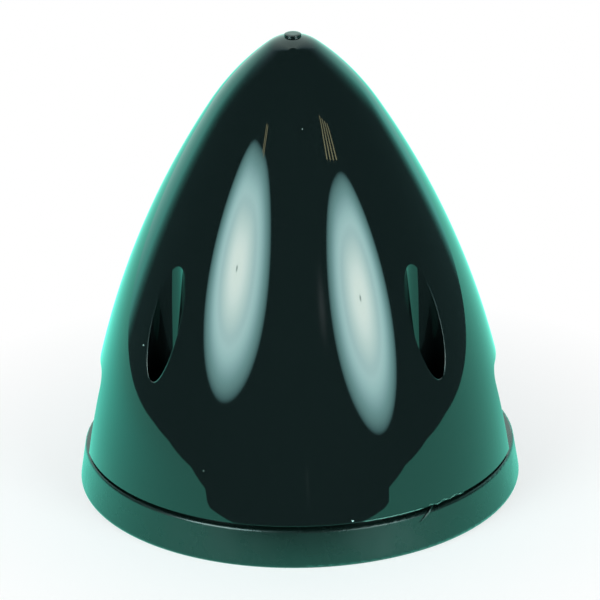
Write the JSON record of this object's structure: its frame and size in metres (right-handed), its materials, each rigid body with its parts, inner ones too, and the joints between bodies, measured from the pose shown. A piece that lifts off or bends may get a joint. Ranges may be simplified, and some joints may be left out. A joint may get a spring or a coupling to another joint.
{
  "type": "propeller spinner",
  "caption": "Moulded propeller spinner with ogive cone, deep screw wells, side blade openings and a rimmed backplate with a crankshaft bore.",
  "frame": {"origin": "centre of the backplate's rear face, on the crankshaft axis", "axes": "+Z forward along the crankshaft towards the nose, +X through a blade opening"},
  "size_m": [0.0568, 0.0568, 0.0605],
  "materials": {
    "cone_plastic": "gloss",
    "backplate_plastic": "satin",
    "screw_steel": "satin"
  },
  "bodies": {
    "root": {"spinner_cone": "cone_plastic", "backplate": "backplate_plastic", "cone_screw_front_left": "screw_steel", "cone_screw_front_right": "screw_steel", "cone_screw_rear_left": "screw_steel", "cone_screw_rear_right": "screw_steel"}
  },
  "joints": []
}
